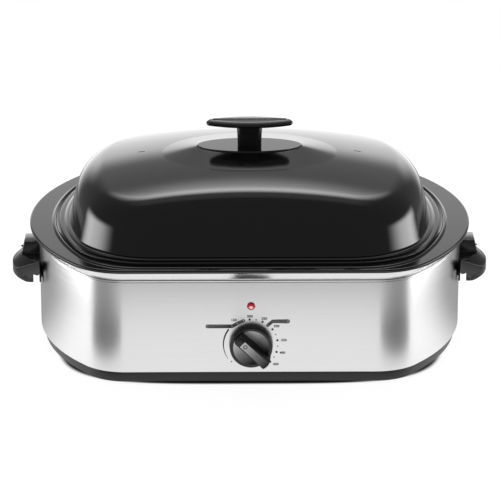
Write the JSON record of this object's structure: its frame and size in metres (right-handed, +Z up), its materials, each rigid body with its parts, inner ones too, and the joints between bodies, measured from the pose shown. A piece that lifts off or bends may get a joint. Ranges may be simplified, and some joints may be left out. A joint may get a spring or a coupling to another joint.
{
  "type": "electric roaster oven",
  "caption": "Countertop electric roaster oven: stainless wrap, lift-out enamelled pan and wire rack, lift-off domed lid with grip, front temperature knob and lamp.",
  "frame": {"origin": "middle of the whole footprint, at the level the feet stand on", "axes": "+X to the right along the oven's length, +Y to the back (the knob faces -Y), +Z up"},
  "size_m": [0.592, 0.4292, 0.273],
  "materials": {
    "stainless": "brushed, fine horizontal grain",
    "black_enamel": "glossy black vitreous enamel",
    "aluminised_steel": "dull aluminised sheet",
    "black_plastic": "black moulding, low sheen",
    "black_moulding": "black heat-proof moulding, glossy",
    "black_knob": "black moulding, satin",
    "grey_inlay": "light grey print strip",
    "zinc_steel": "zinc plated steel",
    "red_lens": "clear red lens",
    "lamp_housing": "white heat-proof moulding",
    "ceramic": "unglazed ceramic",
    "copper": "drawn copper",
    "element_sheath": "oxidised steel sheath",
    "wire_sleeve": "glass-fibre sleeved lead",
    "black_rubber": "black rubber",
    "chromed_wire": "polished chrome wire"
  },
  "bodies": {
    "base_unit": {"outer_wrap": "stainless", "rim_collar": "black_enamel", "heating_well": "aluminised_steel", "base_tray": "black_plastic", "tie_posts": "zinc_steel", "base_screws": "zinc_steel", "side_handle_left": "black_moulding", "side_handle_right": "black_moulding", "handle_screws": "zinc_steel", "lamp_lens": "red_lens", "lamp_body": "lamp_housing", "lamp_clip": "zinc_steel", "thermostat_bracket": "zinc_steel", "thermostat_screws": "zinc_steel", "thermostat_body": "ceramic", "sensing_bulb": "copper", "heating_element": "element_sheath", "element_terminals": "ceramic", "element_clips": "zinc_steel", "heat_shield": "aluminised_steel", "terminal_block": "ceramic", "lead_wires": "wire_sleeve", "cord_grommet": "black_rubber", "foot_front_left": "black_rubber", "foot_front_right": "black_rubber", "foot_rear_left": "black_rubber", "foot_rear_right": "black_rubber"},
    "knob": {"control_knob": "black_knob", "knob_inlay": "grey_inlay", "thermostat_shaft": "zinc_steel"},
    "pan": {"roasting_pan": "black_enamel"},
    "rack": {"rack_grid": "chromed_wire", "rack_handle_left": "chromed_wire", "rack_handle_right": "chromed_wire"},
    "lid": {"lid_shell": "black_enamel", "lid_knob": "black_moulding", "lid_washer": "zinc_steel", "lid_screw": "zinc_steel"}
  },
  "joints": [
    {"name": "knob_turn", "type": "hinge", "parent": "base_unit", "child": "knob", "pos_m": [0, -0.1874, 0.052], "axis": [0, -1, 0], "range_deg": [0, 267]},
    {"name": "pan_lift", "type": "slide", "parent": "base_unit", "child": "pan", "axis": [0, 0, 1], "range_m": [0, 0.16]},
    {"name": "rack_lift", "type": "slide", "parent": "pan", "child": "rack", "axis": [0, 0, 1], "range_m": [0, 0.14]},
    {"name": "lid_lift", "type": "slide", "parent": "rack", "child": "lid", "axis": [0, 0, 1], "range_m": [0, 0.18]}
  ]
}
